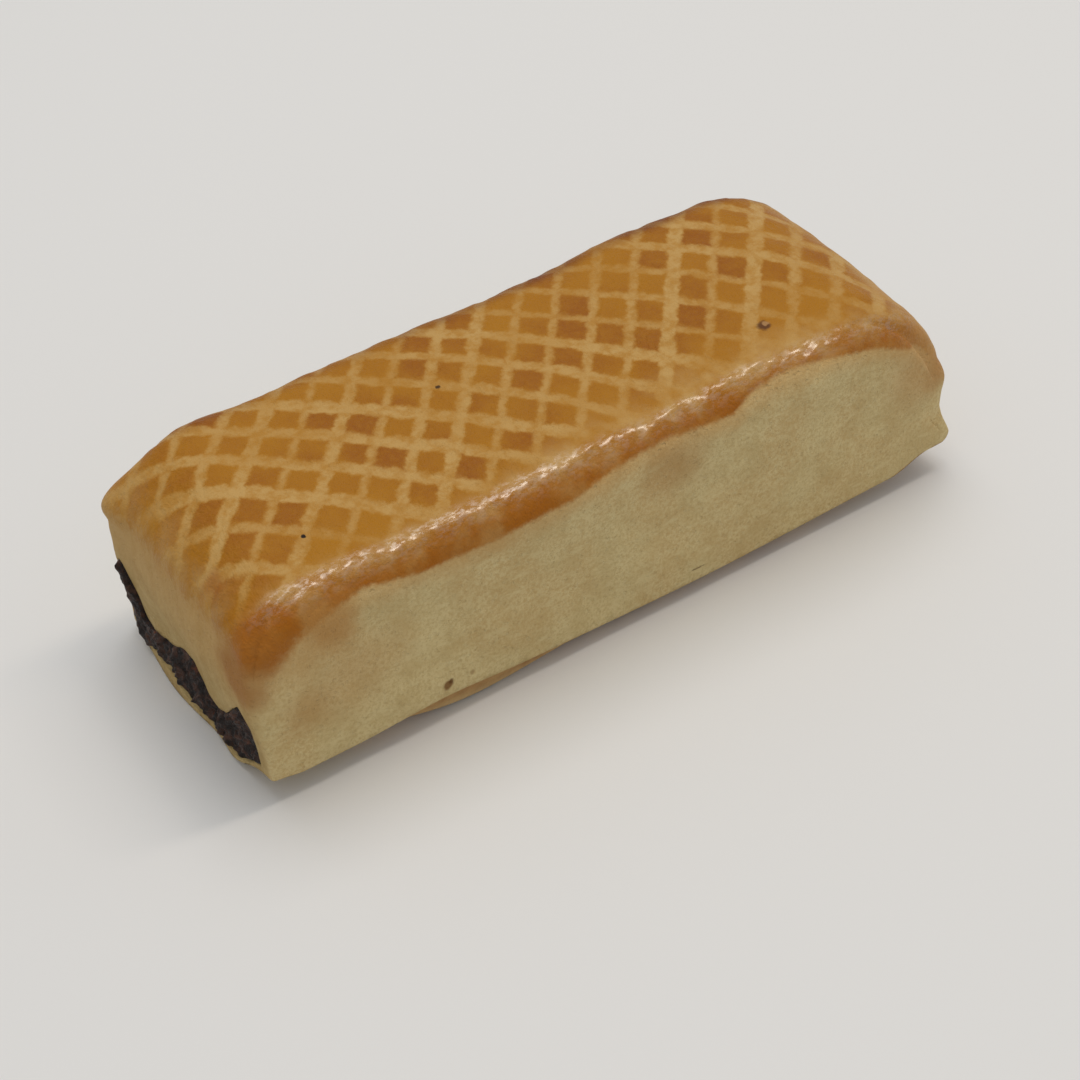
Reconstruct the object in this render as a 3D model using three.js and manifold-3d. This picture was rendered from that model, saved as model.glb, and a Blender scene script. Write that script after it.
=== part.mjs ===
// A pear bread bar: a thin sheet of dough wrapped round a dark dried-pear filling.
// Millimetres, +Z up. The bar lies along X, stands on z = 0 and is centred on the origin in plan.
// The long side that was baked against a neighbour faces -Y, and the open end, where the filling shows, faces -X.
import * as THREE from "three";
import { mergeVertices } from "three/addons/utils/BufferGeometryUtils.js";
import Module from "manifold-3d";

// Overall size of the bar.
const LEFT_WALL_X = -65.2;
const RIGHT_WALL_X = 65.0;
const HALF_WIDTH = 23.4;
const CROWN_LEFT = 37.2;
const CROWN_RIGHT = 39.8;
const CROWN_DROP = 0.6; // how much lower the top is where the long shoulders begin
const BACK_TILT = 1.2; // how much the top rises from the centre line to the back side

// Shoulders between the top and each wall: how far in they start and how far they fall.
// The end shoulders differ from the near side (-Y) to the back side (+Y).
const NEAR_SHOULDER = { reach: 7.0, fall: 6.5 };
const BACK_SHOULDER = { reach: 5.5, fall: 6.0 };
const LEFT_SHOULDER = { nearReach: 6.0, backReach: 17.5, nearFall: 5.2, backFall: 10.5 };
const RIGHT_SHOULDER = { nearReach: 24.0, backReach: 19.0, nearFall: 17.0, backFall: 19.0 };
const CORNER_SHARPNESS = 5; // exponent of the rounded corners in plan

// Underside: a flat patch to rest on, rising to edges that hang clear of the table.
const EDGE_LIFT = 4.0;
const BACK_EDGE_LIFT = 3.0;
const FLAT_SHARE = 0.62; // share of the half length and half width that is flat
const LEAST_EDGE_LIFT = 0.1; // height of the open end's crust edge where it is lowest

// Dough thickness round the filling, and the gap kept between the two solids.
const SIDE_WALL = 3.4;
const END_WALL = 3.6;
const TOP_WALL = 3.0;
const BASE_CRUST = 1.5;
const GAP = 0.3;

// Opening at the left end, as y and z: the lip of dough hangs over it in three waves.
const LIP_LINE = [
  [-20.0, 11.6],
  [-19.0, 14.8],
  [-17.4, 16.0],
  [-14.6, 13.6],
  [-11.4, 9.4],
  [-8.3, 7.3],
  [-5.0, 8.8],
  [-2.2, 12.0],
  [1.8, 11.9],
  [5.6, 9.5],
  [9.6, 7.9],
  [13.4, 7.1],
  [16.0, 7.6],
  [17.4, 12.0],
  [19.0, 16.4],
];
const CRUST_LINE = [
  [20.4, 12.0],
  [20.2, 3.6],
  [17.0, 2.2],
  [12.5, 2.3],
  [4.7, 3.4],
  [0.0, 1.9],
  [-13.0, 1.9],
  [-16.2, 3.0],
  [-18.8, 5.1],
];
const PLUG_START_X = -60;
const PLUG_END_X = -75;

// Grid of the bar's surface: segments along, across and up, and the shares that lie inside the shoulders.
const SURFACE_GRID = { along: 28, across: 18, up: 8 };
const FILLING_GRID = { along: 14, across: 9, up: 4 };
const INNER_ALONG = 10 / 14;
const INNER_ACROSS = 5 / 9;

const DOUGH = new THREE.MeshStandardMaterial({ color: 0xc08a48, roughness: 0.55, metalness: 0 });
const FILLING = new THREE.MeshStandardMaterial({ color: 0x3a2a26, roughness: 0.8, metalness: 0 });

const wasm = await Module();
wasm.setup();

const { clamp, lerp, smoothstep } = THREE.MathUtils;

// One smooth hump that is 1 in the middle and 0 from half a width away.
function hump(value, middle, halfWidth) {
  return smoothstep(1 - Math.abs(value - middle) / halfWidth, 0, 1);
}

// Height of the sharp lower edge at a plan position.
function edgeHeight(x, y) {
  const nearWaves = 0.7 * hump(x, -35.6, 16) - 0.8 * hump(x, 9.4, 45);
  const rightRise = 2.2 * smoothstep(x, 53.4, 60.4) + 2.0 * smoothstep(x, 62.9, 65.9);
  const leftRise = 0.8 * smoothstep(-x, 59.6, 64.6);
  const near = EDGE_LIFT + nearWaves + rightRise + leftRise;
  const level = lerp(near, BACK_EDGE_LIFT, smoothstep(y, -HALF_WIDTH, HALF_WIDTH));
  const sag = 4.4 * smoothstep(y, -HALF_WIDTH, -9.4) * (1 - 0.8 * smoothstep(y, 14, HALF_WIDTH));
  return Math.max(LEAST_EDGE_LIFT, level - sag * smoothstep(-x, 40, 60));
}

// Height of the underside away from its edge: flat in the middle, rising smoothly to the edge.
function undersideHeight(x, y) {
  const reach = Math.hypot((x / RIGHT_WALL_X) ** 2, (y / HALF_WIDTH) ** 2) ** 0.5;
  return edgeHeight(x, y) * smoothstep(reach, FLAT_SHARE, 1);
}

// Height of the top before its shoulders fall away.
function crownHeight(x, y) {
  const along = lerp(CROWN_LEFT, CROWN_RIGHT, smoothstep(x, -47, 48));
  return along - CROWN_DROP * (y / 17) ** 2 + (BACK_TILT * y) / HALF_WIDTH;
}

// How far the end walls lean out of their plane at a height: the left wall bulges and its crust
// sticks out, the right wall is hollow above a pulled-out lip.
function leftLean(y, z) {
  return -1.5 * hump(z, 22, 17) - 1.2 * hump(y, 6, 16) * (1 - smoothstep(z, 2, 10));
}

function rightLean(y, z) {
  const near = smoothstep(-y, 5, 21);
  const tip = lerp(1.0, 2.6, near) * (1 - smoothstep(z, 5.5, 11.5));
  return tip + near * (0.9 * smoothstep(z, 5, 11) * (1 - smoothstep(z, 19, 24)) - 0.7 * hump(z, 14.5, 4.5));
}

// Point on the bar's surface for a point (u, v, w) on a cube from -1 to 1.
function barPoint(u, v, w) {
  const across = (v + 1) / 2;
  const end = u < 0 ? LEFT_SHOULDER : RIGHT_SHOULDER;
  const side = v < 0 ? NEAR_SHOULDER : BACK_SHOULDER;
  const leftReach = lerp(LEFT_SHOULDER.nearReach, LEFT_SHOULDER.backReach, across);
  const rightReach = lerp(RIGHT_SHOULDER.nearReach, RIGHT_SHOULDER.backReach, across);
  const turnX = (Math.PI / 2) * clamp((Math.abs(u) - INNER_ALONG) / (1 - INNER_ALONG), 0, 1);
  const turnY = (Math.PI / 2) * clamp((Math.abs(v) - INNER_ACROSS) / (1 - INNER_ACROSS), 0, 1);
  const outX = Math.sin(turnX);
  const outY = Math.sin(turnY);
  const most = Math.max(outX, outY);
  const rounded = (outX ** CORNER_SHARPNESS + outY ** CORNER_SHARPNESS) ** (1 / CORNER_SHARPNESS);
  const pull = most > 0 ? most / rounded : 1;

  const shareX = (clamp(u / INNER_ALONG, -1, 1) + 1) / 2;
  const shareY = (clamp(v / INNER_ACROSS, -1, 1) + 1) / 2;
  const innerX = lerp(LEFT_WALL_X + leftReach, RIGHT_WALL_X - rightReach, shareX);
  const innerY = lerp(-HALF_WIDTH + NEAR_SHOULDER.reach, HALF_WIDTH - BACK_SHOULDER.reach, shareY);
  const endReach = u < 0 ? -leftReach : rightReach;
  const x = innerX + endReach * outX * pull;
  const y = innerY + Math.sign(v) * side.reach * outY * pull;

  const endFall = lerp(end.nearFall, end.backFall, across) * (1 - Math.cos(turnX));
  const top = crownHeight(x, y) - endFall - side.fall * (1 - Math.cos(turnY));
  const inside = smoothstep(8 * (1 - most), 0, 1);
  const bottom = lerp(edgeHeight(x, y), undersideHeight(x, y), inside);
  const z = lerp(bottom, top, (w + 1) / 2);
  const lean = (u < 0 ? leftLean(y, z) : rightLean(y, z)) * (outX * pull) ** 2;
  return new THREE.Vector3(x + lean, y, z);
}

// Closed surface of the bar on a grid. Each point may be moved by a function of its own.
function barGeometry(grid, move = (point) => point) {
  const geometry = new THREE.BoxGeometry(2, 2, 2, grid.along, grid.across, grid.up);
  geometry.deleteAttribute("normal");
  geometry.deleteAttribute("uv");
  const closed = mergeVertices(geometry);
  const position = closed.getAttribute("position");
  for (let i = 0; i < position.count; i += 1) {
    const point = move(barPoint(position.getX(i), position.getY(i), position.getZ(i)));
    position.setXYZ(i, point.x, point.y, point.z);
  }
  return closed;
}

// The bar shrunk to the dough's inner face, or a little less when it grows by the gap.
function innerGeometry(grow) {
  const shrunk = (half, wall) => (half - wall + grow) / half;
  const scaleX = shrunk(RIGHT_WALL_X, END_WALL);
  const scaleY = shrunk(HALF_WIDTH, SIDE_WALL);
  const floor = BASE_CRUST - grow;
  const scaleZ = (CROWN_LEFT - TOP_WALL + grow - floor) / CROWN_LEFT;
  return barGeometry(FILLING_GRID, (point) =>
    new THREE.Vector3(point.x * scaleX, point.y * scaleY, floor + point.z * scaleZ),
  );
}

// Plug of filling through the opening at the left end, grown outwards by the gap.
function plugGeometry(grow) {
  const lines = new THREE.Shape().moveTo(...LIP_LINE[0]);
  lines.splineThru(LIP_LINE.slice(1).map(([y, z]) => new THREE.Vector2(y, z)));
  CRUST_LINE.forEach(([y, z]) => lines.lineTo(y, z));
  const corners = lines.getPoints(4).map((corner) => [corner.x, corner.y]);
  const [grown] = new wasm.CrossSection([corners], "NonZero").offset(grow, "Round").toPolygons();
  const outline = new THREE.Shape(grown.map(([y, z]) => new THREE.Vector2(y, z)));
  const plug = new THREE.ExtrudeGeometry(outline, {
    depth: PLUG_START_X - PLUG_END_X,
    bevelEnabled: false,
  });
  // The outline's own x and y become the bar's y and z, and its depth runs along the bar.
  const axes = new THREE.Matrix4().makeBasis(
    new THREE.Vector3(0, 1, 0),
    new THREE.Vector3(0, 0, 1),
    new THREE.Vector3(1, 0, 0),
  );
  return plug.applyMatrix4(axes).translate(PLUG_END_X, 0, 0);
}

function solidOf(geometry) {
  const bare = geometry.clone();
  bare.deleteAttribute("normal");
  bare.deleteAttribute("uv");
  const merged = mergeVertices(bare, 1e-4);
  return new wasm.Manifold(
    new wasm.Mesh({
      numProp: 3,
      vertProperties: merged.getAttribute("position").array,
      triVerts: new Uint32Array(merged.index.array),
    }),
  );
}

function meshOf(solid, name, material) {
  const { numProp, vertProperties, triVerts } = solid.getMesh();
  const corners = new THREE.InterleavedBuffer(vertProperties, numProp);
  const geometry = new THREE.BufferGeometry();
  geometry.setAttribute("position", new THREE.InterleavedBufferAttribute(corners, 3, 0));
  geometry.setIndex(new THREE.BufferAttribute(triVerts, 1));
  const flat = geometry.toNonIndexed();
  flat.computeVertexNormals();
  const mesh = new THREE.Mesh(flat, material);
  mesh.name = name;
  return mesh;
}

const bar = solidOf(barGeometry(SURFACE_GRID));
const cavity = solidOf(innerGeometry(GAP)).add(solidOf(plugGeometry(GAP)));
const filling = solidOf(innerGeometry(0)).add(solidOf(plugGeometry(0)).intersect(bar));

const pearBread = new THREE.Group();
pearBread.add(meshOf(bar.subtract(cavity), "dough_jacket", DOUGH));
pearBread.add(meshOf(filling, "pear_filling", FILLING));

export default pearBread;
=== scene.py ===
"""A bar of pear bread: a glazed, fork-scored dough jacket draped over a dark fruit filling.

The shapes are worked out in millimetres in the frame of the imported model: +X runs along the bar,
-Y is the pale side that was baked against a neighbour, -X is the open end and z = 0 is the table.
"""

import logging
import math
from dataclasses import dataclass, field
from enum import Enum
from typing import Any, Mapping, Sequence

import bpy
import numpy as np
from mathutils import Matrix, Vector


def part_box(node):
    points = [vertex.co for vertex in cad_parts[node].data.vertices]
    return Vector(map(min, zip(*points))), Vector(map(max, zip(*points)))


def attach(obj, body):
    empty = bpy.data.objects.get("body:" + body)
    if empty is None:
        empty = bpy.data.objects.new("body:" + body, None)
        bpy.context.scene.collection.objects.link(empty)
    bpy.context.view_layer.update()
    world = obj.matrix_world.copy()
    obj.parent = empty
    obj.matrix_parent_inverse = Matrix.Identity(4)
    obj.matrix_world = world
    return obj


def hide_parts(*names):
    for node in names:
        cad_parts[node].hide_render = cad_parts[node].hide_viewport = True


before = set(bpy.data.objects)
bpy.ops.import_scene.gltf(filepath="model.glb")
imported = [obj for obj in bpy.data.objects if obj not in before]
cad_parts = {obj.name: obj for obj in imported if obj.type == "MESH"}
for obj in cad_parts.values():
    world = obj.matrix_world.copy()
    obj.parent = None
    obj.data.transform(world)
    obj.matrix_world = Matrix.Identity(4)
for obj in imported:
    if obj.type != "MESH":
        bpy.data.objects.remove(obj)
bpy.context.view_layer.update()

BODY = "root"
STROKE_MAP = "stroke_counts"
MM = 0.001
QUARTER_TURN = math.pi / 2

log = logging.getLogger("pear_bread")

Array = np.ndarray
Colour = tuple[float, float, float]
Triple = tuple[float, float, float]
Object = bpy.types.Object
Material = bpy.types.Material
Node = bpy.types.Node
Socket = bpy.types.NodeSocket


# ---------------------------------------------------------------------------------------------
# Small formulas
# ---------------------------------------------------------------------------------------------


def smoothstep(value: Array | float, low: float, high: float) -> Array:
    """0 up to low, 1 from high on, and the cubic 3t^2 - 2t^3 between; low may lie above high."""
    share = np.clip((np.asarray(value, dtype=float) - low) / (high - low), 0.0, 1.0)
    return share * share * (3.0 - 2.0 * share)


def hump(value: Array | float, middle: float, half_width: float) -> Array:
    """One smooth hump: 1 at middle, 0 from half_width away."""
    return smoothstep(1.0 - np.abs(np.asarray(value, dtype=float) - middle) / half_width, 0.0, 1.0)


def lerp(first: Array | float, second: Array | float, share: Array | float) -> Array:
    """first where share is 0, second where it is 1, and a straight blend between."""
    return first + (np.asarray(second) - first) * share


def linear(red: int, green: int, blue: int) -> Colour:
    """A colour given as 0 to 255 display values, turned into linear light."""
    shares = np.array([red, green, blue]) / 255.0
    light = np.where(shares <= 0.04045, shares / 12.92, ((shares + 0.055) / 1.055) ** 2.4)
    return (float(light[0]), float(light[1]), float(light[2]))


@dataclass(frozen=True)
class Unevenness:
    """A soft random field: plane waves of nearly one length, in random directions, added up."""

    length: float
    seed: int
    depth: float
    waves: int = 14
    shortest: float = 0.7
    longest: float = 1.5

    def at(self, points: Array) -> Array:
        """The field at each point.

        Args:
            points: N points in millimetres.

        Returns:
            N values in millimetres, with a spread of about the field's depth.
        """
        random = np.random.default_rng(self.seed)
        ways = random.normal(size=(self.waves, 3))
        ways /= np.linalg.norm(ways, axis=1, keepdims=True)
        lengths = self.length * random.uniform(self.shortest, self.longest, self.waves)
        starts = random.uniform(0.0, 2.0 * math.pi, self.waves)
        phases = points @ (ways * (2.0 * math.pi / lengths)[:, None]).T + starts
        return np.sin(phases).sum(axis=1) * math.sqrt(2.0 / self.waves) * self.depth


@dataclass(frozen=True)
class Wave:
    """A smooth rise or dip along a line."""

    height: float
    middle: float
    half_width: float

    def at(self, place: Array) -> Array:
        """Its height at each place: a hump round its middle."""
        return self.height * hump(place, self.middle, self.half_width)


@dataclass(frozen=True)
class Step:
    """A smooth change of level along a line."""

    height: float
    start: float
    end: float

    def at(self, place: Array) -> Array:
        """Its height at each place: nothing before its start and all of it from its end on."""
        return self.height * smoothstep(place, self.start, self.end)


# ---------------------------------------------------------------------------------------------
# Shape of the bar
# ---------------------------------------------------------------------------------------------


@dataclass(frozen=True)
class Shoulder:
    """Rounded step from the top down to a wall; it may change from the near to the back side."""

    near_reach: float
    back_reach: float
    near_fall: float
    back_fall: float

    def reach(self, across: Array | float) -> Array:
        """How far in from the wall the shoulder starts; across is 0 near and 1 at the back."""
        return lerp(self.near_reach, self.back_reach, across)

    def fall(self, across: Array | float) -> Array:
        """How far the shoulder falls from the top to the wall; across is as for reach."""
        return lerp(self.near_fall, self.back_fall, across)


@dataclass(frozen=True)
class Opening:
    """Gap at the open end between the draped lip of dough and the base crust.

    The lip and the crust are smooth lines through a few points, given as y and z.
    """

    lip: tuple[tuple[float, float], ...] = (
        (-20.6, 12.6), (-19.6, 15.0), (-17.8, 16.4), (-14.6, 13.4), (-11.4, 9.2), (-8.3, 7.2),
        (-5.0, 8.6), (-2.2, 12.3), (2.2, 11.9), (5.6, 9.4), (11.0, 7.7), (15.4, 6.8),
        (16.6, 8.4), (17.8, 15.6), (19.4, 18.0), (21.0, 16.0),
    )
    crust: tuple[tuple[float, float], ...] = (
        (-20.6, 5.6), (-18.8, 4.9), (-16.2, 3.0), (-13.8, 1.5), (-9.0, 1.3), (-1.1, 1.2),
        (1.8, 1.5), (4.0, 3.4), (7.4, 3.6), (12.5, 2.3), (17.2, 1.6), (21.0, 3.4),
    )
    near_v: float = -0.66
    back_v: float = 0.72
    low_row: float = 0.05
    high_row: float = 0.30
    tear: Unevenness = Unevenness(length=3.0, seed=44, depth=0.13)
    rounding: float = 0.8

    def line(self, points: tuple[tuple[float, float], ...], y: Array) -> Array:
        """Height of a line: straight between its points, rounded by averaging, then torn.

        Args:
            points: the line's points as y and z.
            y: places across the bar.

        Returns:
            The height at each place.
        """
        knots = np.array(points)
        offsets = np.linspace(-self.rounding, self.rounding, 7)
        heights = np.interp(y[..., None] + offsets, knots[:, 0], knots[:, 1])
        level = np.full_like(y, points[0][1])
        return heights.mean(axis=-1) + self.tear.at(np.stack([level, y, level], axis=-1))

    def shift_rows(self, rise: Array, bottom: Array, top: Array, y: Array, weight: Array) -> Array:
        """Heights of a wall's rows, moved so that two of them follow the crust and the lip.

        The share of the wall's height is a broken line of the row's own share: the stretches
        below, in and above the opening each keep even rows.

        Args:
            rise: row's share of the wall, 0 at the lower edge and 1 at the shoulder.
            bottom: height of the wall's lower edge.
            top: height of the wall's upper edge.
            y: place across the bar.
            weight: 1 on the open end, 0 away from it.

        Returns:
            The share of the wall's height for each row.
        """
        height = top - bottom
        low = lerp(self.low_row, (self.line(self.crust, y) - bottom) / height, weight)
        high = lerp(self.high_row, (self.line(self.lip, y) - bottom) / height, weight)
        below = low * rise / self.low_row
        inside = low + (high - low) * (rise - self.low_row) / (self.high_row - self.low_row)
        above = high + (1.0 - high) * (rise - self.high_row) / (1.0 - self.high_row)
        return np.where(rise < self.low_row, below, np.where(rise < self.high_row, inside, above))


@dataclass(frozen=True)
class ForkStrokes:
    """One family of parallel fork strokes over the top.

    The stroke count grows with x and y, and a little with their product and squares, because the
    strokes fan out; they also crowd and spread once along the bar, as the third Legendre
    polynomial does. Whole numbers are the middles of the squares and halves are the strokes.
    """

    start: float
    along: float
    across: float
    fan: float
    spread: float
    widening: float
    swing: float
    half_length: float = 60.0

    def count(self, x: Array, y: Array) -> Array:
        """How many strokes lie before a place on the top.

        Args:
            x: along the bar, in millimetres.
            y: across it.

        Returns:
            The stroke counts.
        """
        share = x / self.half_length
        crowding = self.swing * (5.0 * share**3 - 3.0 * share) / 2.0
        bends = self.fan * x * y + self.spread * y * y + self.widening * x * x
        return self.start + self.along * x + self.across * y + bends - crowding

    def groove(self, x: Array, y: Array, half_width: float) -> Array:
        """Grooves that are full up to a quarter of a half width and end at one and a half of them.

        Args:
            x: along the bar, in millimetres.
            y: across it.
            half_width: half the stroke's width as a share of the spacing.

        Returns:
            1 in the middle of a stroke and 0 between strokes.
        """
        count = self.count(x, y)
        away = np.abs(count - np.floor(count) - 0.5)
        return 1.0 - smoothstep(away, 0.25 * half_width, 1.5 * half_width)


FORWARD_STROKES = ForkStrokes(
    start=5.472,
    along=0.1246,
    across=-0.1064,
    fan=1.7e-4,
    spread=6.0e-5,
    widening=-6.4e-5,
    swing=0.15,
)
BACKWARD_STROKES = ForkStrokes(
    start=2.808,
    along=0.1040,
    across=0.1028,
    fan=-1.5e-4,
    spread=2.2e-4,
    widening=1.7e-5,
    swing=0.20,
)


@dataclass(frozen=True)
class SkinPoint:
    """Points of the bar's skin: each with its outward direction, how far it faces up (topness)
    and whether it belongs to the underside (baseness)."""

    place: Array
    outward: Array
    topness: Array
    baseness: Array


@dataclass(frozen=True)
class BarSkin:
    """Outer surface of the bar as a function of a point (u, v, w) on a cube from -1 to 1.

    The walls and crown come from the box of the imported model; the rooms are what the bulges, the
    pulled-out corner and the swells need between them and that box.
    """

    left_wall: float
    right_wall: float
    half_width: float
    crown_left: float
    crown_right: float
    open_end_room: float = 1.5
    closed_end_room: float = 2.1
    top_room: float = 0.5
    crown_climb: float = 2.4
    crown_drop: float = 0.6
    crown_reach: float = 17.0
    back_tilt: float = 1.2
    left: Shoulder = Shoulder(6.0, 17.5, 5.2, 10.5)
    right: Shoulder = Shoulder(24.5, 19.0, 18.0, 16.2)
    near: Shoulder = Shoulder(5.2, 5.2, 5.6, 5.6)
    back: Shoulder = Shoulder(5.5, 5.5, 6.0, 6.0)
    corner_power: float = 5.0
    low_corner_power: float = 14.0
    full_rounding_w: float = 0.1
    edge_lift: float = 4.0
    back_edge_lift: float = 3.0
    edge_waves: tuple[Wave | Step, ...] = (
        Wave(0.7, -35.6, 16.0),
        Wave(-1.1, 14.0, 48.0),
        Step(2.2, 53.4, 60.4),
        Step(2.0, 62.9, 65.9),
        Step(0.8, -59.6, -64.6),
    )
    open_end_sag: Step = Step(4.4, -40.0, -60.0)
    back_dip: Wave = Wave(0.5, -4.0, 40.0)
    end_bulge: Wave = Wave(1.5, 22.0, 17.0)
    end_crust: Wave = Wave(1.2, 6.0, 16.0)
    end_rim: Wave = Wave(0.7, -12.5, 8.0)
    end_pinch: Wave = Wave(1.3, 28.5, 4.5)
    corner_lip: tuple[float, float] = (1.0, 3.3)
    corner_bulge: Step = Step(1.4, 5.0, 11.0)
    corner_hollow: Wave = Wave(0.3, 14.5, 4.5)
    least_lift: float = 0.12
    flat_share: float = 0.86
    flat_sine: float = 0.875
    behind_flap: float = 0.12
    inner_along: float = 0.72
    inner_across: float = 0.56
    opening: Opening = field(default_factory=Opening)
    swell: Unevenness = Unevenness(length=34.0, seed=3, depth=0.22)
    ripple: Unevenness = Unevenness(length=11.0, seed=8, depth=0.10)
    pucker: Unevenness = Unevenness(length=3.6, seed=21, depth=0.05)
    top_pucker_share: float = 0.6
    nick: Unevenness = Unevenness(length=1.9, seed=5, depth=0.18)
    most_outward_nick: float = 0.05
    crinkle: Unevenness = Unevenness(length=2.1, seed=33, depth=0.055)
    smear: Wave = Wave(6.0, 14.0, 40.0)
    stroke_half_width: float = 0.17
    stroke_depth: float = 0.16
    backward_share: float = 0.8

    @classmethod
    def fitted(cls, low: Sequence[float], high: Sequence[float]) -> "BarSkin":
        """The skin whose bulges and pulled-out corner reach a box.

        Args:
            low: the box's lowest corner, in metres.
            high: its highest corner, in metres.

        Returns:
            The skin, with its walls set in from the box by what stands out from them.
        """
        lowest, highest = np.array(low) / MM, np.array(high) / MM
        crown = float(highest[2]) - cls.top_room
        return cls(
            left_wall=float(lowest[0]) + cls.open_end_room,
            right_wall=float(highest[0]) - cls.closed_end_room,
            half_width=float(highest[1] - lowest[1]) / 2.0,
            crown_left=crown - cls.crown_climb,
            crown_right=crown,
        )

    def edge_height(self, x: Array, y: Array) -> Array:
        """Height of the lower edge: it waves along the near side, rises to the pulled-out corner
        at the closed end and sags to the table at the open end.

        Args:
            x: along the bar, in millimetres.
            y: across it.

        Returns:
            The heights.
        """
        near = self.edge_lift + sum(wave.at(x) for wave in self.edge_waves)
        level = lerp(near, self.back_edge_lift, smoothstep(y, -self.half_width, self.half_width))
        sag = self.open_end_sag.at(x) * smoothstep(y, -self.half_width, -9.4)
        sag = sag * (1.0 - 0.8 * smoothstep(y, 14.0, self.half_width))
        return np.maximum(self.least_lift, level - sag)

    def flap(self, x: Array) -> Array:
        """How full the seam flap is that hangs below the near edge, 0 to 1 along the bar."""
        return np.maximum(hump(x, -28.6, 20.0) ** 0.7, 0.22 * hump(x, -4.0, 26.0))

    def underside_height(self, x: Array, y: Array) -> Array:
        """Height of the underside: flat in the middle, rising smoothly to the edge, and steeply
        behind the seam flap.

        Args:
            x: along the bar, in millimetres.
            y: across it.

        Returns:
            The heights.
        """
        reach = np.sqrt(np.hypot((x / self.right_wall) ** 2, (y / self.half_width) ** 2))
        rise = smoothstep(reach, self.flat_share, 1.0)
        near_side = smoothstep(y, -4.0, -10.0)
        steep = smoothstep(y, 1.5 - self.half_width, 0.15 - self.half_width)
        flap_rise = np.minimum(rise, lerp(self.behind_flap, 1.0, steep))
        rise = lerp(rise, flap_rise, near_side * self.flap(x))
        return self.edge_height(x, y) * rise

    def crown_height(self, x: Array, y: Array) -> Array:
        """Height of the top before its shoulders fall away: it climbs to the closed end, tilts up
        to the back, falls off with the square of y and dips along the back.

        Args:
            x: along the bar, in millimetres.
            y: across it.

        Returns:
            The heights.
        """
        along = lerp(self.crown_left, self.crown_right, smoothstep(x, -47.0, 48.0))
        dip = self.back_dip.at(x) * smoothstep(y, 4.0, self.half_width)
        tilt = self.back_tilt * y / self.half_width
        return along - dip - self.crown_drop * (y / self.crown_reach) ** 2 + tilt

    def left_lean(self, y: Array, z: Array) -> Array:
        """The open end bulges at mid height, its crust sticks out at the bottom, and the dough is
        pinched to a point where the shoulder ends at the back corner.

        Args:
            y: across the bar, in millimetres.
            z: height.

        Returns:
            How far the wall moves along the bar.
        """
        crust = self.end_crust.at(y) * smoothstep(z, 10.0, 2.0)
        rim = self.end_rim.at(y) * smoothstep(z, 4.0, 1.2)
        pinch = self.end_pinch.at(z) * smoothstep(y, 11.0, 20.0)
        return -(self.end_bulge.at(z) + crust + rim + pinch)

    def right_lean(self, y: Array, z: Array) -> Array:
        """The closed end has a pulled-out lip at the bottom and, towards the near corner, a bulge
        with a slight hollow above it.

        Args:
            y: across the bar, in millimetres.
            z: height.

        Returns:
            How far the wall moves along the bar.
        """
        near = smoothstep(y, -5.0, -21.0)
        lip = lerp(*self.corner_lip, near) * smoothstep(z, 11.5, 5.5)
        bulge = self.corner_bulge.at(z) * smoothstep(z, 24.0, 19.0)
        return lip + near * (bulge - self.corner_hollow.at(z))

    def turn(self, place: Array, inner: float) -> Array:
        """Angle that a shoulder has turned: 0 inside +-inner and a quarter turn at the wall."""
        return QUARTER_TURN * np.clip((np.abs(place) - inner) / (1.0 - inner), 0.0, 1.0)

    def corner_pull(self, out_x: Array, out_y: Array, w: Array) -> Array:
        """How far a corner is pulled in: the larger part over (out_x^p + out_y^p)^(1/p).

        Args:
            out_x: sine of the turn along the bar.
            out_y: sine of the turn across it.
            w: -1 on the underside and 1 on the top; low corners are the sharper ones.

        Returns:
            1 on the flats and less where two shoulders meet.
        """
        sharpness = smoothstep(w, -1.0, self.full_rounding_w)
        power = lerp(self.low_corner_power, self.corner_power, sharpness)
        most = np.maximum(out_x, out_y)
        rounded = (out_x**power + out_y**power) ** (1.0 / power)
        return np.where(most > 0.0, most / np.maximum(rounded, 1e-9), 1.0)

    def plan(self, u: Array, v: Array, out_x: Array, out_y: Array) -> tuple[Array, Array]:
        """Places seen from above: the place inside the shoulders plus the shoulder's reach.

        Args:
            u: along the bar, -1 at the open end and 1 at the closed end.
            v: across it, -1 on the near side and 1 at the back.
            out_x: share of the end's reach.
            out_y: share of the side's reach.

        Returns:
            x and y in millimetres.
        """
        across = (v + 1.0) / 2.0
        left_reach, right_reach = self.left.reach(across), self.right.reach(across)
        near_reach, back_reach = self.near.reach(0.0), self.back.reach(1.0)
        share_x = (np.clip(u / self.inner_along, -1.0, 1.0) + 1.0) / 2.0
        share_y = (np.clip(v / self.inner_across, -1.0, 1.0) + 1.0) / 2.0
        x = lerp(self.left_wall + left_reach, self.right_wall - right_reach, share_x)
        y = lerp(near_reach - self.half_width, self.half_width - back_reach, share_y)
        x = x + np.where(u < 0, -left_reach, right_reach) * out_x
        y = y + np.where(v < 0, -near_reach, back_reach) * out_y
        return x, y

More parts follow.
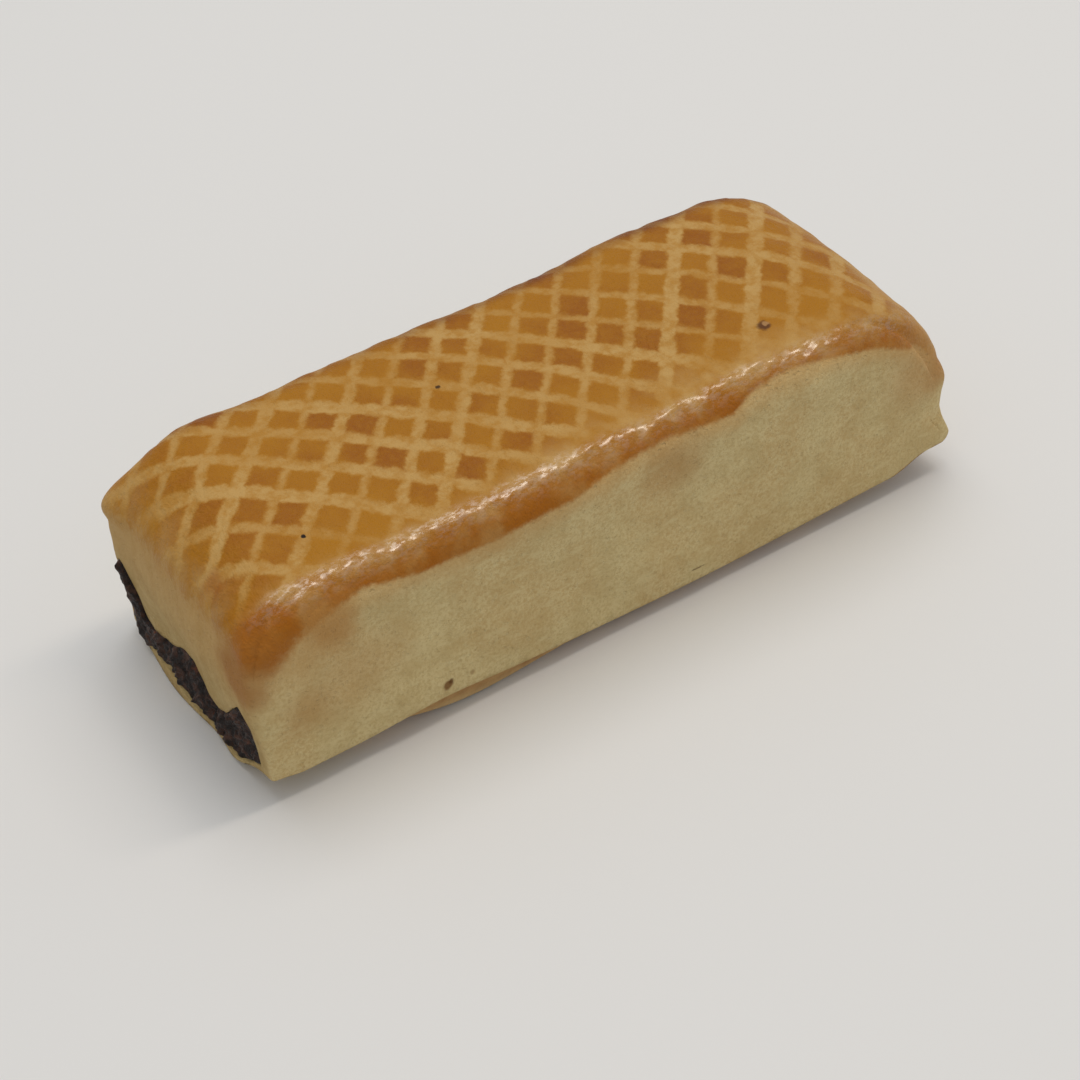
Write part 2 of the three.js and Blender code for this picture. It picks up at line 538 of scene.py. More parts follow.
    def at(self, u: Array, v: Array, w: Array) -> SkinPoint:
        """Points of the skin.

        In plan a point is its place inside the shoulders plus the shoulder's reach times the sine
        of its turn, pulled in where two turns meet so that the corner is rounded. Its height runs
        from the lower surface to the crown less each shoulder's fall times one less the cosine.

        Args:
            u: along the bar, -1 at the open end and 1 at the closed end.
            v: across it, -1 on the near side and 1 at the back.
            w: -1 on the underside and 1 on the top.

        Returns:
            The points in millimetres with their outward directions and masks.
        """
        turn_x, turn_y = self.turn(u, self.inner_along), self.turn(v, self.inner_across)
        out_x, out_y = np.sin(turn_x), np.sin(turn_y)
        pull = self.corner_pull(out_x, out_y, w)
        x, y = self.plan(u, v, out_x * pull, out_y * pull)

        across = (v + 1.0) / 2.0
        end_fall = np.where(u < 0, self.left.fall(across), self.right.fall(across))
        side_fall = np.where(v < 0, self.near.fall(0.0), self.back.fall(1.0))
        top = self.crown_height(x, y)
        top = top - end_fall * (1.0 - np.cos(turn_x)) - side_fall * (1.0 - np.cos(turn_y))
        inside = smoothstep(np.maximum(out_x, out_y), 1.0, self.flat_sine)
        bottom = lerp(self.edge_height(x, y), self.underside_height(x, y), inside)
        open_end = np.where(u < 0, out_x, 0.0) ** 4
        rise = self.opening.shift_rows((w + 1.0) / 2.0, bottom, top, y, open_end)
        z = lerp(bottom, top, rise)
        lean = np.where(u < 0, self.left_lean(y, z), self.right_lean(y, z))
        x = x + lean * (out_x * pull) ** 2

        topness = np.where(w >= 1.0, np.cos(turn_x) * np.cos(turn_y), 0.0)
        baseness = np.where(w <= -1.0, 1.0, 0.0)
        aside = 1.0 - baseness
        parts = [np.sign(u) * out_x * aside, np.sign(v) * out_y * aside, topness]
        outward = np.stack(parts, axis=-1)
        outward /= np.maximum(np.linalg.norm(outward, axis=-1, keepdims=True), 1e-6)
        return SkinPoint(np.stack([x, y, z], axis=-1), outward, topness, baseness)

    def score_strength(self, x: Array, y: Array) -> Array:
        """How deep the fork strokes are: full on the top, smeared along the middle of the near
        ridge, and fading to the ends.

        Args:
            x: along the bar, in millimetres.
            y: across it.

        Returns:
            Shares from 0 to 1.
        """
        near_wall = -self.half_width
        ridge = smoothstep(y, near_wall + 2.6, near_wall + 8.0 + self.smear.at(x))
        left = smoothstep(x, self.left_wall - 7.0, self.left_wall + 7.0)
        right = smoothstep(x, self.right_wall - 2.0, self.right_wall - 12.0)
        back = smoothstep(y, self.half_width - 0.5, self.half_width - 3.0)
        return ridge * left * right * back

    def uneven(self, skin: SkinPoint) -> Array:
        """The points with their hand-made unevenness: broad swells, ripples, puckers and grooves.

        Args:
            skin: points of the smooth skin.

        Returns:
            The moved points. The flat of the underside stays where it is.
        """
        place = skin.place
        x, y, z = place[:, 0], place[:, 1], place[:, 2]
        above = smoothstep(z, 1.0, 9.0) * (1.0 - skin.baseness)
        side = (1.0 - skin.topness) * (1.0 - skin.baseness)
        relief = self.swell.at(place) + self.ripple.at(place)
        relief += (side + self.top_pucker_share * skin.topness) * self.pucker.at(place)
        ridge = hump(y, -self.half_width + 3.0, 4.5) * smoothstep(z, 28.0, 32.0)
        relief += ridge * self.crinkle.at(place)
        forward = FORWARD_STROKES.groove(x, y, self.stroke_half_width)
        backward = BACKWARD_STROKES.groove(x, y, self.stroke_half_width)
        strokes = np.maximum(forward, self.backward_share * backward) * self.score_strength(x, y)
        relief -= self.stroke_depth * strokes * smoothstep(skin.topness, 0.3, 0.8)
        # The sharp lower corners move less than the rest, or they would fold over themselves.
        corner = 2.0 * np.abs(skin.outward[:, 0] * skin.outward[:, 1])
        relief *= 1.0 - 0.8 * corner * smoothstep(z, 20.0, 10.0)
        moved = place + skin.outward * (relief * above)[:, None]
        # The lower edge is slightly ragged.
        edge = smoothstep(z - self.edge_height(x, y), 1.6, 0.0) * (1.0 - skin.baseness)
        inward = edge * smoothstep(corner, 0.5, 0.0) * self.nick.at(place)
        return moved - skin.outward * np.maximum(inward, -self.most_outward_nick)[:, None]


# ---------------------------------------------------------------------------------------------
# Grids and meshes
# ---------------------------------------------------------------------------------------------


@dataclass
class Surface:
    """Points and quads of a surface, with a value per point for each named mask."""

    points: Array
    quads: Array
    masks: dict[str, Array] = field(default_factory=dict)
    strokes: Array | None = None


@dataclass(frozen=True)
class CubeGrid:
    """Grid on the surface of a cube, with a block of cells left out of the face at u = -1."""

    along: Array
    across: Array
    up: Array
    block_across: tuple[int, int]
    block_up: tuple[int, int]

    def build(self) -> tuple[Array, Array, Array]:
        """Joins six face grids on their shared edges. Seen from outside, a face runs the right
        way round on the far side of the first and last axis and on the near side of the second.

        Returns:
            The points (u, v, w), the quads with faces outwards, and the point numbers round the
            rim of the left-out block.
        """
        lines = (self.along, self.across, self.up)
        open_end = (0, -1.0)
        places, numbers, start = {}, {}, 0
        for axis in range(3):
            for side in (-1.0, 1.0):
                axes = [np.array([side]) if other == axis else lines[other] for other in range(3)]
                block = np.stack(np.meshgrid(*axes, indexing="ij"), axis=-1).squeeze(axis)
                places[axis, side] = block.reshape(-1, 3)
                numbers[axis, side] = np.arange(block[..., 0].size).reshape(block.shape[:2]) + start
                start += block[..., 0].size
        every = np.round(np.concatenate(list(places.values())), 9)
        points, joined = np.unique(every, axis=0, return_inverse=True)
        joined = joined.reshape(-1)
        quads = []
        for (axis, side), block in numbers.items():
            block = joined[block]
            corners = [block[:-1, :-1], block[1:, :-1], block[1:, 1:], block[:-1, 1:]]
            cells = np.stack(corners, axis=-1)
            if (axis, side) == open_end:
                kept = np.ones(cells.shape[:2], dtype=bool)
                kept[slice(*self.block_across), slice(*self.block_up)] = False
                cells = cells[kept]
                columns = slice(self.block_across[0], self.block_across[1] + 1)
                rows = slice(self.block_up[0], self.block_up[1] + 1)
                rim = rim_of(block[columns, rows])
            outwards = (side > 0) != (axis == 1)
            cells = cells.reshape(-1, 4)
            quads.append(cells if outwards else cells[:, ::-1])
        return points, np.concatenate(quads), rim


def rim_of(block: Array) -> Array:
    """Entries round a 2-D block: along its low side, up, back along its high side and down."""
    return np.concatenate([block[:-1, 0], block[-1, :-1], block[:0:-1, -1], block[0, :0:-1]])


def spaced(low_lines: int, inner: float, inside: int, high_lines: int) -> Array:
    """Grid lines from -1 to 1: even inside +-inner, with their own number in each outer zone.

    Args:
        low_lines: steps from -1 to -inner.
        inner: end of the middle zone.
        inside: steps in the middle zone.
        high_lines: steps from inner to 1.

    Returns:
        The lines' positions.
    """
    low = np.linspace(-1.0, -inner, low_lines + 1)
    middle = np.linspace(-inner, inner, inside + 1)[1:-1]
    return np.concatenate([low, middle, np.linspace(inner, 1.0, high_lines + 1)])


@dataclass(frozen=True)
class Tunnel:
    """Inner space of the jacket: a tube that starts at the opening's rim and widens inside.

    Each loop is a blend of the rim and a rounded rectangle, and the last loops close in on a pole
    as a quarter circle does.
    """

    start_x: float = -65.0
    end_x: float = 61.0
    centre_y: float = 0.0
    centre_z: float = 18.2
    half_across: float = 19.6
    half_up: float = 15.2
    power: float = 5.0
    widen_from: float = 0.5
    widen_over: float = 16.0
    straighten_over: float = 12.0
    close_over: float = 12.0
    crowding: float = 1.4
    loops: int = 26

    def build(self, rim: Array, shares: Array, shrink: float) -> tuple[Array, Array]:
        """Loops of points from just inside the rim to the pole.

        Args:
            rim: points of the rim, in order.
            shares: each rim point's place on the edge of a square from -1 to 1, as (across, up).
            shrink: how far the tube stays inside its full size, in millimetres.

        Returns:
            The points, loop after loop with the pole last, and the quads between the loops,
            which face away from the tube's axis. Loop 0 is the rim itself.
        """
        end_x = self.end_x - shrink
        centre = np.array([self.centre_y, self.centre_z])
        half = np.array([self.half_across, self.half_up]) - shrink
        rounding = (np.abs(shares) ** self.power).sum(axis=1) ** (1.0 / self.power)
        section = shares / rounding[:, None] * half + centre
        steps = np.linspace(0.0, 1.0, self.loops + 1)[1:] ** self.crowding
        depth = steps[:, None] * (end_x - self.start_x)
        wide = smoothstep(depth, self.widen_from, self.widen_over)[..., None]
        cross = lerp(rim[None, :, 1:], section[None], wide)
        left = np.clip((end_x - self.start_x - depth) / self.close_over, 0.0, 1.0)
        cross = centre + (cross - centre) * np.sqrt(1.0 - (1.0 - left) ** 2)[..., None]
        straight = smoothstep(depth, 0.0, self.straighten_over)
        x = lerp(rim[None, :, 0] + depth, self.start_x + depth, straight)
        x = np.broadcast_to(x, cross.shape[:2])[..., None]
        loops = np.concatenate([x, cross], axis=-1)[:-1]
        pole = np.array([[end_x, self.centre_y, self.centre_z]])
        points = np.concatenate([rim, loops.reshape(-1, 3), pole])
        count = len(rim)
        numbers = np.arange(count * len(loops) + count).reshape(-1, count)
        after = np.roll(numbers, -1, axis=1)
        quads = np.stack([numbers[:-1], after[:-1], after[1:], numbers[1:]], axis=-1).reshape(-1, 4)
        tip = np.full(count, len(points) - 1)
        fan = np.stack([numbers[-1], after[-1], tip, tip], axis=-1)
        return points, np.concatenate([quads, fan])


def turned_round(quads: Array) -> Array:
    """The same quads facing the other way; a triangle's doubled last number stays last."""
    return quads[:, [1, 0, 3, 2]]


def square_rim(across: int, up: int) -> Array:
    """Places round the edge of a square from -1 to 1, in the order that rim_of gives."""
    a, b = np.meshgrid(np.linspace(-1, 1, across), np.linspace(-1, 1, up), indexing="ij")
    return np.stack([rim_of(a), rim_of(b)], axis=-1)


def add_object(name: str, data: bpy.types.ID | None) -> Object:
    """A new object in the scene, at the origin."""
    thing = bpy.data.objects.new(name, data)
    bpy.context.scene.collection.objects.link(thing)
    return thing


def to_mesh(name: str, surface: Surface) -> Object:
    """Puts a surface into a smooth-shaded mesh object at the origin, in metres. Quads come first
    and triangles last.

    Args:
        name: name of the object and its mesh.
        surface: points in millimetres; a quad whose last two numbers are equal is a triangle.

    Returns:
        The object, linked to the scene, with its masks and its stroke map.
    """
    used, renumbered = np.unique(surface.quads, return_inverse=True)
    quads = renumbered.reshape(surface.quads.shape)
    pointed = quads[:, 2] == quads[:, 3]
    sizes = np.where(pointed, 3, 4)
    corners = np.concatenate([quads[~pointed].ravel(), quads[pointed][:, :3].ravel()])
    sizes = np.sort(sizes)[::-1]
    starts = np.concatenate([[0], np.cumsum(sizes)[:-1]])
    mesh = bpy.data.meshes.new(name)
    mesh.vertices.add(len(used))
    mesh.vertices.foreach_set("co", (surface.points[used] * MM).ravel())
    mesh.loops.add(len(corners))
    mesh.loops.foreach_set("vertex_index", corners)
    mesh.polygons.add(len(sizes))
    mesh.polygons.foreach_set("loop_start", starts)
    mesh.polygons.foreach_set("use_smooth", np.ones(len(sizes), dtype=bool))
    for mask, values in surface.masks.items():
        mesh.attributes.new(mask, "FLOAT", "POINT").data.foreach_set("value", values[used])
    if surface.strokes is not None:
        layer = mesh.uv_layers.new(name=STROKE_MAP)
        layer.data.foreach_set("uv", surface.strokes[used][corners].ravel())
    mesh.update(calc_edges=True)
    mesh.validate()
    return add_object(name, mesh)


class Mask(str, Enum):
    """Names of the values stored at each point of the jacket."""

    GLAZE = "glaze"
    SCORE = "score"
    RIDGE = "ridge"
    SHINE = "shine"
    BAKED = "baked"
    UNDER = "under"
    RIM = "rim"
    DRAPE = "drape"


# ---------------------------------------------------------------------------------------------
# Node maths
# ---------------------------------------------------------------------------------------------


@dataclass(frozen=True)
class Value:
    """A number socket on which + - * / add Math nodes."""

    kit: "NodeKit"
    socket: Socket

    def __add__(self, other: "Value | float") -> "Value":
        """Sum."""
        return self.kit.math("ADD", self, other)

    def __radd__(self, other: float) -> "Value":
        """Sum, number first."""
        return self.kit.math("ADD", other, self)

    def __sub__(self, other: "Value | float") -> "Value":
        """Difference."""
        return self.kit.math("SUBTRACT", self, other)

    def __rsub__(self, other: float) -> "Value":
        """Difference, number first."""
        return self.kit.math("SUBTRACT", other, self)

    def __mul__(self, other: "Value | float") -> "Value":
        """Product."""
        return self.kit.math("MULTIPLY", self, other)

    def __rmul__(self, other: float) -> "Value":
        """Product, number first."""
        return self.kit.math("MULTIPLY", other, self)

    def __abs__(self) -> "Value":
        """Size without the sign."""
        return self.kit.math("ABSOLUTE", self)


class NodeKit:
    """Builds one material's nodes."""

    def __init__(self, name: str) -> None:
        """Starts a new material with a Principled shader.

        Args:
            name: the material's name.
        """
        self.material = bpy.data.materials.new(name)
        self.material.use_nodes = True
        self.tree = self.material.node_tree
        self.shader = self.tree.nodes["Principled BSDF"]

    def make(
        self,
        kind: str,
        settings: Mapping[str, Any] | None = None,
        sockets: Mapping[str, Any] | None = None,
    ) -> Node:
        """Adds a node.

        Args:
            kind: the node's type.
            settings: properties, which are set first.
            sockets: values or links by socket name or identifier.

        Returns:
            The node.
        """
        node = self.tree.nodes.new(kind)
        for key, setting in (settings or {}).items():
            setattr(node, key, setting)
        for key, value in (sockets or {}).items():
            self.feed(self.input_of(node, key), value)
        return node

    def input_of(self, node: Node, key: str) -> Socket:
        """The input with that identifier, or else with that name."""
        by_identifier = {socket.identifier: socket for socket in node.inputs}
        return by_identifier[key] if key in by_identifier else node.inputs[key]

    def feed(self, socket: Socket, value: Any) -> None:
        """Feeds one input.

        Args:
            socket: the input.
            value: a value or socket, which is linked, or a plain number, vector or colour.
        """
        if isinstance(value, Value):
            value = value.socket
        if isinstance(value, Socket):
            self.tree.links.new(value, socket)
        elif isinstance(value, tuple) and socket.type == "RGBA":
            socket.default_value = (*value[:3], 1.0)
        else:
            socket.default_value = value

    def math(self, operation: str, *values: "Value | float") -> Value:
        """A Math node on up to three values."""
        sockets = {("Value" if i == 0 else f"Value_{i:03d}"): v for i, v in enumerate(values)}
        node = self.make("ShaderNodeMath", {"operation": operation}, sockets)
        return Value(self, node.outputs[0])

    def ramp(
        self, value: Value, low: float, high: float, floor: float = 0.0, roof: float = 1.0
    ) -> Value:
        """Smooth step of a value from low to high, going from floor to roof.

        Args:
            value: the value.
            low: where the step starts.
            high: where it ends.
            floor: result up to low.
            roof: result from high on.

        Returns:
            The stepped value.
        """
        ends = {"From Min": low, "From Max": high, "To Min": floor, "To Max": roof}
        settings = {"interpolation_type": "SMOOTHSTEP"}
        node = self.make("ShaderNodeMapRange", settings, {"Value": value, **ends})
        return Value(self, node.outputs[0])

    def blend(self, share: Value, first: Socket | Colour, second: Socket | Colour) -> Socket:
        """Mixes two colours: the first where the share is 0 and the second where it is 1."""
        colours = {"Factor_Float": share, "A_Color": first, "B_Color": second}
        node = self.make("ShaderNodeMix", {"data_type": "RGBA"}, colours)
        return next(socket for socket in node.outputs if socket.identifier == "Result_Color")

    def place(self) -> Socket:
        """Object coordinates in millimetres."""
        coordinates = self.make("ShaderNodeTexCoord").outputs["Object"]
        scaling = {"Vector": coordinates, "Scale": 1.0 / MM}
        return self.make("ShaderNodeVectorMath", {"operation": "SCALE"}, scaling).outputs[0]

    def stretched(self, place: Socket, scale: Triple) -> Socket:
        """A place with each axis scaled by its own number.

        Args:
            place: the place.
            scale: factor of each axis; a feature gets longer along an axis with a small one.

        Returns:
            The scaled place.
        """
        node = self.make("ShaderNodeVectorMath", {"operation": "MULTIPLY"})
        self.feed(node.inputs[0], place)
        self.feed(node.inputs[1], scale)
        return node.outputs[0]

    def noise(
        self, place: Socket, length: float, detail: float = 2.0, roughness: float = 0.5
    ) -> Value:
        """Noise from 0 to 1 at a place.

        Args:
            place: where it is read, in millimetres.
            length: size of its broadest features.
            detail: number of finer layers.
            roughness: strength of each layer as a share of the one before.

        Returns:
            The noise.
        """
        sockets = {"Vector": place, "Scale": 1.0 / length, "Detail": detail, "Roughness": roughness}
        node = self.make("ShaderNodeTexNoise", {"noise_dimensions": "3D"}, sockets)
        return Value(self, node.outputs[0])

    def cells(self, place: Socket, length: float) -> Value:
        """Distance to the nearest of many scattered spots, in shares of their spacing."""
        spots = {"Vector": place, "Scale": 1.0 / length}
        node = self.make("ShaderNodeTexVoronoi", {"feature": "F1"}, spots)
        return Value(self, node.outputs["Distance"])

    def mask(self, name: Mask) -> Value:
        """A value stored at the points of the piece."""
        source = {"attribute_type": "GEOMETRY", "attribute_name": name.value}
        return Value(self, self.make("ShaderNodeAttribute", source).outputs["Fac"])

    def chance(self, first: Value, second: Value | float) -> Value:
        """A random number from 0 to 1 for each pair of whole numbers, always the same one."""
        pair = self.make("ShaderNodeCombineXYZ", {}, {"X": first, "Y": second}).outputs[0]
        node = self.make("ShaderNodeTexWhiteNoise", {"noise_dimensions": "2D"}, {"Vector": pair})
        return Value(self, node.outputs["Value"])

    def finish(
        self, sockets: Mapping[str, Any], bump: Sequence[tuple[Value, float]] = ()
    ) -> Material:
        """Feeds the shader and chains the bumps.

        Args:
            sockets: the shader's values and links by socket name.
            bump: heights from 0 to 1, each with its depth in millimetres.

        Returns:
            The finished material.
        """
        for key, value in sockets.items():
            self.feed(self.input_of(self.shader, key), value)
        normal: Socket | None = None
        for height, depth in bump:
            links: dict[str, Any] = {"Height": height, "Distance": depth * MM, "Strength": 1.0}
            if normal is not None:
                links["Normal"] = normal
            normal = self.make("ShaderNodeBump", {}, links).outputs["Normal"]
        if normal is not None:
            self.feed(self.shader.inputs["Normal"], normal)
        return self.material


# ---------------------------------------------------------------------------------------------
# Finishes
# ---------------------------------------------------------------------------------------------


class Facing(Enum):
    """Where a mark lies, as the weights of x, y and z in its distance. A mark on one side has a
    low weight for the depth below that side, and a slit is long in x."""

    TOP = (1.0, 1.0, 0.2)
    NEAR = (1.0, 0.2, 1.0)
    CORNER = (1.0, 1.0, 1.0)
    SLIT = (0.2, 0.2, 1.5)


@dataclass(frozen=True)
class Blemish:
    """A mark on the dough: a dark speck, a pit, a blister or a toasted patch."""

    centre: Triple
    radius: float
    colour: Colour
    strength: float = 1.0
    softness: float = 0.3
    facing: Facing = Facing.NEAR


@dataclass(frozen=True)
class DoughCrumb:
    """The unevenness that all of the dough's colours share, from the finest to the broadest."""

    kit: NodeKit
    place: Socket
    speck: Value
    fine: Value
    soft: Value
    broad: Value

    @classmethod
    def over(cls, kit: NodeKit) -> "DoughCrumb":
        """The crumb for one material.

        Args:
            kit: the material's nodes.

        Returns:
            Its place and its four noises.
        """
        place = kit.place()
        return cls(
            kit=kit,
            place=place,
            speck=kit.noise(place, 0.6, 5.0, 0.8),
            fine=kit.noise(place, 0.9, 3.0, 0.6),
            soft=kit.noise(place, 5.0, 3.0, 0.55),
            broad=kit.noise(place, 16.0, 2.0, 0.5),
        )

    def noise(self, stretch: Triple, length: float, detail: float, roughness: float) -> Value:
        """Another noise, on a stretched place."""
        return self.kit.noise(self.kit.stretched(self.place, stretch), length, detail, roughness)


@dataclass(frozen=True)
class Lattice:
    """The fork strokes on the dough, and how dark the glaze has pooled in each square."""

    lines: Value
    depth: Value


@dataclass(frozen=True)
class DoughFinish:
    """Egg-washed, scored and baked dough."""

    stroke: Colour = linear(190, 151, 88)
    square_light: Colour = linear(169, 113, 18)
    square_dark: Colour = linear(147, 86, 8)
    # Deeper orange glaze on the near shoulder, darkened with painted shade for its steep slope.
    ridge: Colour = linear(160, 92, 10)
    scorched: Colour = linear(106, 50, 18)
    pale: Colour = linear(216, 196, 144)
    pale_dark: Colour = linear(191, 165, 111)
    # Painted shade: the drape at the open end faces away from the lamps, so its dough is painted
    # darker than the sides.
    drape: Colour = linear(170, 139, 84)
    tan: Colour = linear(196, 152, 92)
    underside: Colour = linear(188, 150, 98)
    underside_dark: Colour = linear(158, 116, 70)
    rim: Colour = linear(215, 190, 140)
    wander: float = 0.34
    forward_seed: float = 7.0
    backward_seed: float = 31.0
    backward_share: float = 0.88
    specular: float = 0.16
    base_roughness: float = 0.46
    matt_sides: float = 0.30
    matt_strokes: float = 0.08
    shine_polish: float = 0.24
    shine_roughness: float = 0.23
    shine_index: float = 2.0
    grain_depth: float = 0.22
    pore_depth: float = 0.10
    crackle_depth: float = 0.08
    wrinkle_depth: float = 0.36
    marks: tuple[Blemish, ...] = (
        Blemish((-50.2, -11.9, 37.0), 0.42, linear(30, 18, 10), 1.0, 0.3, Facing.TOP),
        Blemish((-17.1, 4.6, 38.0), 0.42, linear(46, 26, 12), 0.9, 0.5, Facing.TOP),
        Blemish((32.4, -13.0, 38.4), 1.15, linear(84, 46, 20), 0.9, 0.4, Facing.TOP),
        Blemish((32.9, -12.7, 38.4), 0.6, linear(176, 132, 84), 0.8, 0.4, Facing.TOP),
        Blemish((-63.2, -10.0, 32.0), 2.6, linear(150, 84, 24), 0.6, 0.6, Facing.CORNER),
        Blemish((-35.0, -23.4, 7.0), 1.0, linear(124, 84, 40), 0.9, 0.5),
        Blemish((-34.4, -23.4, 7.5), 0.5, linear(92, 56, 24), 0.8, 0.5),
        Blemish((-30.6, -23.4, 7.2), 0.5, linear(150, 116, 70), 0.6, 0.5),
        Blemish((12.4, -23.4, 5.8), 0.3, linear(112, 84, 48), 0.8, 0.5, Facing.SLIT),
        Blemish((7.1, -23.4, 28.6), 6.0, linear(176, 130, 74), 0.5, 1.0),
        Blemish((-50.0, -23.4, 20.0), 9.0, linear(184, 136, 76), 0.4, 1.0),
        Blemish((-58.6, -23.4, 15.0), 4.6, linear(176, 130, 70), 0.5, 0.9),
        Blemish((-53.0, -23.4, 29.0), 4.5, linear(178, 124, 60), 0.6, 0.9),
        Blemish((-66.4, -19.6, 23.5), 5.6, linear(156, 98, 38), 0.7, 0.7, Facing.CORNER),
        Blemish((-64.0, -22.4, 29.4), 4.4, linear(162, 98, 26), 0.8, 0.6, Facing.CORNER),
        Blemish((59.5, -23.4, 25.5), 8.5, linear(186, 140, 84), 0.55, 1.0),
        Blemish((64.0, -23.0, 22.0), 4.5, linear(176, 124, 66), 0.6, 0.9),
    )

    def build(self) -> Material:
        """The material: strokes and squares of glaze over pale dough, browned below."""
        kit = NodeKit("baked_dough")
        crumb = DoughCrumb.over(kit)
        lattice = self.lattice(crumb)
        egg_wash = kit.mask(Mask.GLAZE)
        border = egg_wash + (crumb.soft - 0.5) * 0.5 + (crumb.fine - 0.5) * 0.5
        glaze = kit.ramp(border, 0.25, 0.75)
        dough = kit.blend(glaze, self.bare(crumb, egg_wash), self.glazed(crumb, lattice))
        below = kit.ramp(kit.mask(Mask.UNDER) + (crumb.soft - 0.5) * 0.3, 0.35, 0.65)
        dough = kit.blend(below, dough, self.browned(crumb))
        for mark in self.marks:
            dough = self.add_mark(crumb, dough, mark)

        shine = kit.mask(Mask.SHINE) * glaze
        matt = (1.0 - glaze) * self.matt_sides
        matt = matt + lattice.lines * kit.mask(Mask.SCORE) * glaze * self.matt_strokes
        roughness = self.base_roughness + matt + (crumb.fine - 0.5) * 0.12
        flecks = kit.ramp(crumb.noise((0.6, 1.2, 1.2), 0.8, 3.0, 0.7), 0.44, 0.60, 0.10, 1.0)
        sockets = {
            "Base Color": dough,
            "Roughness": roughness - shine * self.shine_polish,
            "Specular IOR Level": self.specular,
            "Coat Weight": shine * flecks,
            "Coat Roughness": self.shine_roughness,
            "Coat IOR": self.shine_index,
        }
        return kit.finish(sockets, self.relief(crumb, glaze, shine))

    def lattice(self, crumb: DoughCrumb) -> Lattice:
        """The two families of strokes, which wander a little, and one random depth per square.

        Args:
            crumb: the dough's unevenness.

        Returns:
            The strokes and depths.
        """
        kit = crumb.kit
        counts = kit.make("ShaderNodeUVMap", {"uv_map": STROKE_MAP}).outputs[0]
        split = kit.make("ShaderNodeSeparateXYZ", {}, {"Vector": counts})
        wobble = (kit.noise(crumb.place, 2.6, 4.0, 0.7) - 0.5) * self.wander
        mirrored_wobble = (crumb.noise((-1.0, 1.0, 1.0), 2.6, 4.0, 0.7) - 0.5) * self.wander
        forward = Value(kit, split.outputs["X"]) + wobble
        backward = Value(kit, split.outputs["Y"]) + mirrored_wobble
        lines = kit.math(
            "MAXIMUM",
            self.stroke_lines(kit, forward, self.forward_seed),
            self.stroke_lines(kit, backward, self.backward_seed) * self.backward_share,
        )
        column = kit.math("FLOOR", forward + 0.5)
        row = kit.math("FLOOR", backward + 0.5)
        return Lattice(lines, kit.chance(column, row))

    def stroke_lines(self, kit: NodeKit, count: Value, seed: float) -> Value:
        """1 on a fork stroke and 0 between strokes; each stroke has its own width and strength.

        Args:
            kit: the material's nodes.
            count: the stroke count.
            seed: second number of the random pair, one per family.

        Returns:
            The strokes.
        """
        away = abs(kit.math("FRACT", count) - 0.5)
        own = kit.chance(kit.math("FLOOR", count), seed)
        return (1.0 - kit.ramp(away - (own - 0.5) * 0.09, 0.06, 0.26)) * (0.6 + 0.4 * own)

    def glazed(self, crumb: DoughCrumb, lattice: Lattice) -> Socket:
        """Colour of the top: pooled glaze in the squares, scraped strokes, painted shade on the
        ridge and scorching.

        Args:
            crumb: the dough's unevenness.
            lattice: the fork strokes.

        Returns:
            The colour.
        """
        kit, fine, soft, broad = crumb.kit, crumb.fine, crumb.soft, crumb.broad
        patch = kit.ramp(broad, 0.36, 0.62, 0.45, 1.0) * kit.ramp(soft, 0.25, 0.6, 0.6, 1.0)
        pooled = (1.0 - lattice.lines) * (0.3 + 0.7 * lattice.depth) * patch
        square = kit.blend(kit.ramp(pooled, 0.02, 0.9), self.square_light, self.square_dark)
        square = kit.blend(kit.ramp(fine, 0.35, 0.75) * 0.3, square, self.square_light)
        scraped = kit.ramp(lattice.lines, 0.08, 0.9) * kit.ramp(broad, 0.3, 0.6, 0.55, 1.0)
        wear = kit.ramp(crumb.noise((1.0, 1.0, 0.4), 2.2, 3.0, 0.65), 0.32, 0.62, 0.38, 1.0)
        scored = kit.blend(scraped * wear, square, self.stroke)
        plain = kit.blend(kit.ramp(soft, 0.3, 0.7), self.square_light, self.stroke)
        top = kit.blend(kit.mask(Mask.SCORE), plain, scored)
        # Painted shade: the steep near shoulder gets a darker orange over its glaze; the mask also
        # covers the orange corner at the open end.
        ridge = kit.mask(Mask.RIDGE) * kit.ramp(soft, 0.3, 0.7, 0.95, 0.55)
        top = kit.blend(ridge, top, self.ridge)
        scorch = kit.ramp(soft, 0.3, 0.7, 0.55, 1.0) * kit.ramp(broad, 0.3, 0.65, 0.6, 1.0)
        return kit.blend(kit.mask(Mask.BAKED) * scorch, top, self.scorched)

    def bare(self, crumb: DoughCrumb, egg_wash: Value) -> Socket:
        """Colour of the bare sides: floury and speckled, darker near the glaze, painted shade on
        the drape.

        Args:
            crumb: the dough's unevenness.
            egg_wash: share of egg wash.

        Returns:
            The colour.
        """
        kit, speck, soft, broad = crumb.kit, crumb.speck, crumb.soft, crumb.broad
        side = kit.blend(kit.ramp(soft, 0.35, 0.75) * 0.6, self.pale, self.pale_dark)
        side = kit.blend(kit.ramp(speck, 0.42, 0.62) * 0.75, side, self.pale_dark)
        warmth = kit.ramp(broad, 0.45, 0.62) * kit.ramp(speck, 0.3, 0.6) * 0.25
        side = kit.blend(warmth, side, self.tan)
        flour = kit.ramp(crumb.noise((0.45, 1.0, 1.0), 2.0, 4.0, 0.72), 0.52, 0.70)
        side = kit.blend(flour * 0.75, side, self.pale)
        streaks = kit.ramp(crumb.noise((1.0, 1.0, 0.4), 1.9, 3.0, 0.6), 0.3, 0.75)
        faint = streaks * 0.18 + kit.ramp(soft, 0.3, 0.7) * 0.2 + kit.ramp(speck, 0.4, 0.62) * 0.2
        # The drape at the open end gets a darker dough colour as painted shade, lightened by faint
        # streaks.
        drape = kit.blend(faint, self.drape, self.pale)
        side = kit.blend(kit.mask(Mask.DRAPE), side, drape)
        toasted = kit.ramp(egg_wash + (soft - 0.5) * 1.2, -1.6, 0.6) * 0.6
        return kit.blend(toasted, side, self.tan)

